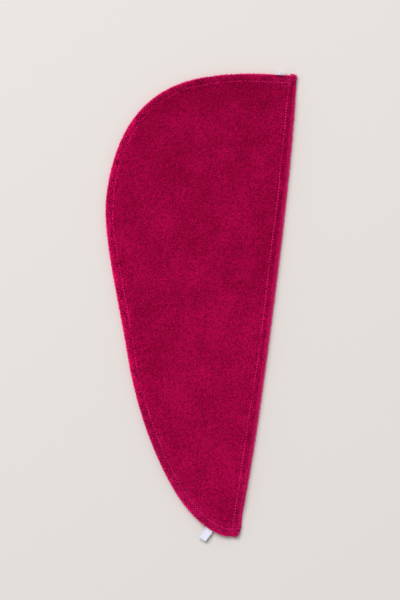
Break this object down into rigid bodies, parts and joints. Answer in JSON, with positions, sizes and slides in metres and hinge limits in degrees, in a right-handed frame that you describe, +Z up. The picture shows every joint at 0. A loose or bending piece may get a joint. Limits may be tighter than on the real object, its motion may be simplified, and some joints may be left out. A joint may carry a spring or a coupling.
{
  "type": "hair turban towel",
  "caption": "Hair turban towel of crimson pile cloth lying flat: two panels joined by a curved seam, an open hemmed side, an elastic loop at the tail and a button at the nape.",
  "frame": {"origin": "on the ground under the middle of the towel's box as it lies flat", "axes": "+Z up from the ground, through the back panel first; the open side runs along Y on the +X side, the nape corner at +Y and the tail at -Y; the curved seam bulges to -X"},
  "size_m": [0.2524, 0.6658, 0.0144],
  "materials": {
    "pile_cloth": "sheared cotton pile, matt, with a soft sheen at glancing angles",
    "elastic_tape": "ribbed woven elastic, matt white",
    "button_plastic": "polished pearl white"
  },
  "bodies": {
    "root": {"front_panel": "pile_cloth", "back_panel": "pile_cloth", "fastening_loop": "elastic_tape", "button": "button_plastic"}
  },
  "joints": []
}
